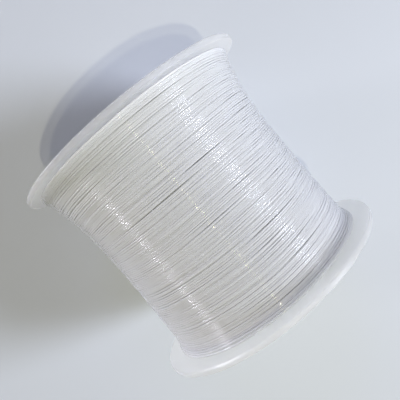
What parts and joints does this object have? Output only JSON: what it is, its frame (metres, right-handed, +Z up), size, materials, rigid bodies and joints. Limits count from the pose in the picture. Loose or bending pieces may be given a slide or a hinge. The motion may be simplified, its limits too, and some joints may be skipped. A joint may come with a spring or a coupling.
{
  "type": "fishing line spool",
  "caption": "Clear plastic spool with round flanges and a hollow ribbed hub, wound nearly full with clear nylon fishing line.",
  "frame": {"origin": "on the surface that the spool lies on, straight below the middle of its axis", "axes": "+X along the spool's axis from the left flange, where the winding stands highest, to the right flange; +Z up, with the spool lying on its side"},
  "size_m": [0.0504, 0.0598, 0.0599],
  "materials": {
    "clear_plastic": "frosted translucent moulded plastic, semi-gloss",
    "clear_nylon": "glossy clear nylon monofilament, whitened by its many layers"
  },
  "bodies": {
    "root": {"left_flange": "clear_plastic", "right_flange": "clear_plastic", "hub_core": "clear_plastic", "fishing_line": "clear_nylon"}
  },
  "joints": []
}
